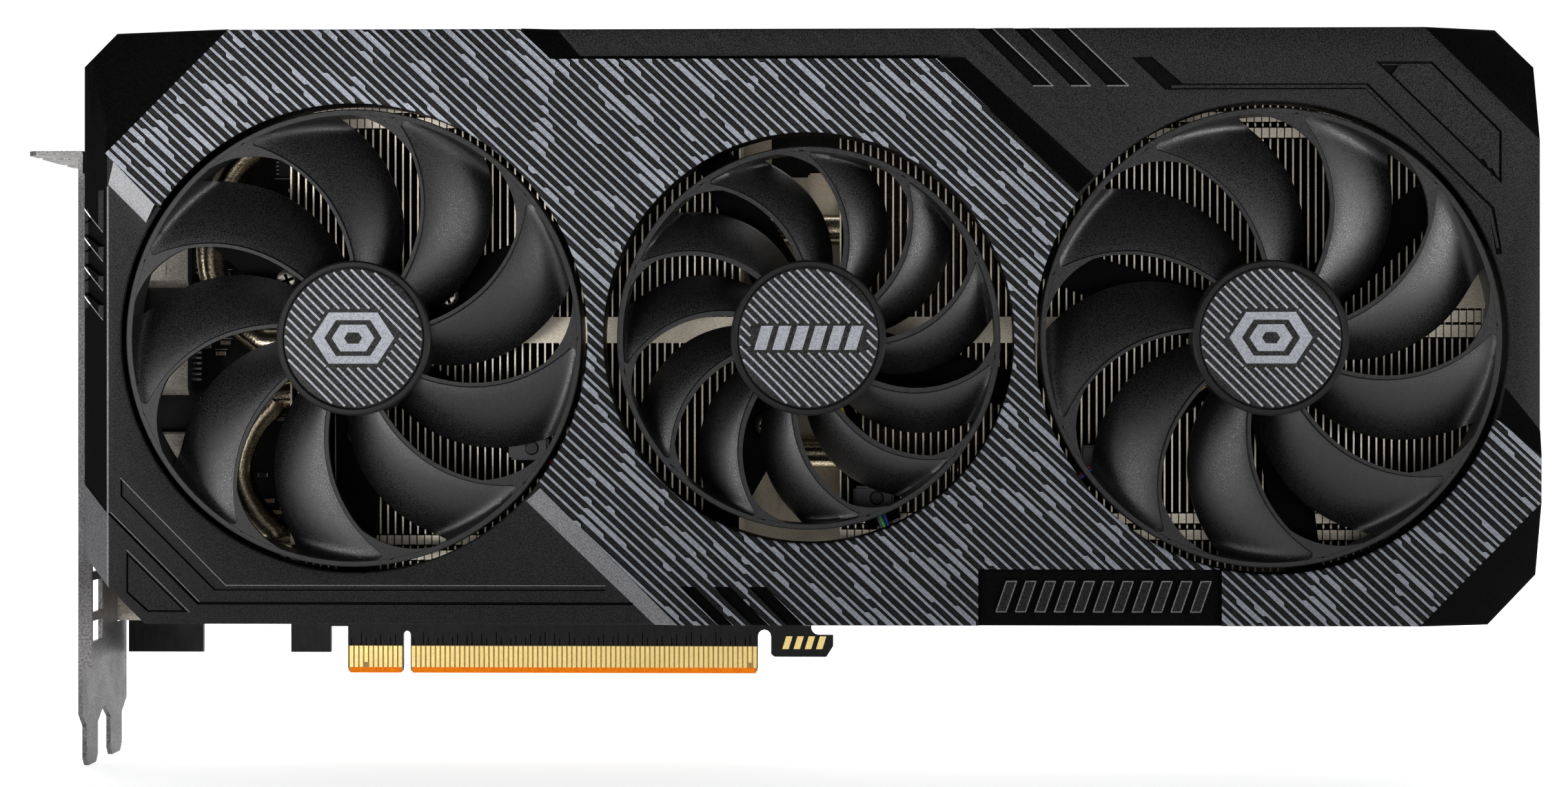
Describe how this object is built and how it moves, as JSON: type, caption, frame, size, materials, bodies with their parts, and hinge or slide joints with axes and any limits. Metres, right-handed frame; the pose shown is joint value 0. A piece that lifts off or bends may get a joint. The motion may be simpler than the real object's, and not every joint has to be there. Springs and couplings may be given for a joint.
{
  "type": "graphics card",
  "caption": "Plug-in computer graphics card: circuit board with an edge connector, metal slot bracket, finned heat sink and free-spinning cooling fans in a faceted shroud.",
  "frame": {"origin": "middle of the long edge-connector section's bottom face, on the circuit board's mid-plane", "axes": "+X along the card from the slot bracket to the free end, +Z from the edge connector up to the top edge, -Y the way the fans face"},
  "size_m": [0.2913, 0.0515, 0.1427],
  "materials": {
    "shroud": "fine-grained dark grey with raised grey stripes",
    "fan": "satin black, fine grain",
    "cap": "printed diagonal lines",
    "fins": "bare sheet",
    "pipe": "nickel plated",
    "steel": "dark nickel",
    "board": "black solder mask",
    "chip": "moulded",
    "silicon": "polished die",
    "socket": "nickel-plated shell",
    "plastic": "moulded",
    "copper": "bare copper and bronze",
    "lead": "insulated wires",
    "backplate": "fine-grained black"
  },
  "bodies": {
    "card": {"backplate": "backplate", "bracket_screw_1": "steel", "bracket_screw_2": "steel", "circuit_board": "board", "cooler_base": "fins", "display_socket_1": "socket", "display_socket_2": "socket", "display_socket_3": "socket", "fin_stack_left": "fins", "fin_stack_right": "fins", "gpu_die": "silicon", "gpu_package": "board", "hdmi_socket": "socket", "heat_pipe_1": "pipe", "heat_pipe_2": "pipe", "heat_pipe_3": "pipe", "heat_pipe_4": "pipe", "io_bracket": "steel", "left_bearing": "copper", "left_fan_frame": "fan", "left_fan_lead": "lead", "left_fan_plug": "plastic", "left_fan_screw_1": "steel", "left_fan_screw_2": "steel", "left_fan_screw_3": "steel", "left_stator": "copper", "memory_chip_1": "chip", "memory_chip_2": "chip", "memory_chip_3": "chip", "memory_chip_4": "chip", "middle_bearing": "copper", "middle_fan_frame": "fan", "middle_fan_lead": "lead", "middle_fan_plug": "plastic", "middle_fan_screw_1": "steel", "middle_fan_screw_2": "steel", "middle_fan_screw_3": "steel", "middle_stator": "copper", "power_socket": "plastic", "right_bearing": "copper", "right_fan_frame": "fan", "right_fan_lead": "lead", "right_fan_plug": "plastic", "right_fan_screw_1": "steel", "right_fan_screw_2": "steel", "right_fan_screw_3": "steel", "right_stator": "copper", "shroud": "shroud", "stack_tie_bar": "fins"},
    "left_fan": {"left_rotor": "fan", "left_hub_cap": "cap", "left_shaft": "steel"},
    "middle_fan": {"middle_rotor": "fan", "middle_hub_cap": "cap", "middle_shaft": "steel"},
    "right_fan": {"right_rotor": "fan", "right_hub_cap": "cap", "right_shaft": "steel"}
  },
  "joints": [
    {"name": "left_fan_spin", "type": "hinge", "parent": "card", "child": "left_fan", "pos_m": [-0.0405, -0.04, 0.06785], "axis": [0, 1, 0], "continuous": true},
    {"name": "middle_fan_spin", "type": "hinge", "parent": "card", "child": "middle_fan", "pos_m": [0.0468, -0.04, 0.06785], "axis": [0, 1, 0], "continuous": true},
    {"name": "right_fan_spin", "type": "hinge", "parent": "card", "child": "right_fan", "pos_m": [0.1349, -0.04, 0.06785], "axis": [0, 1, 0], "continuous": true}
  ]
}
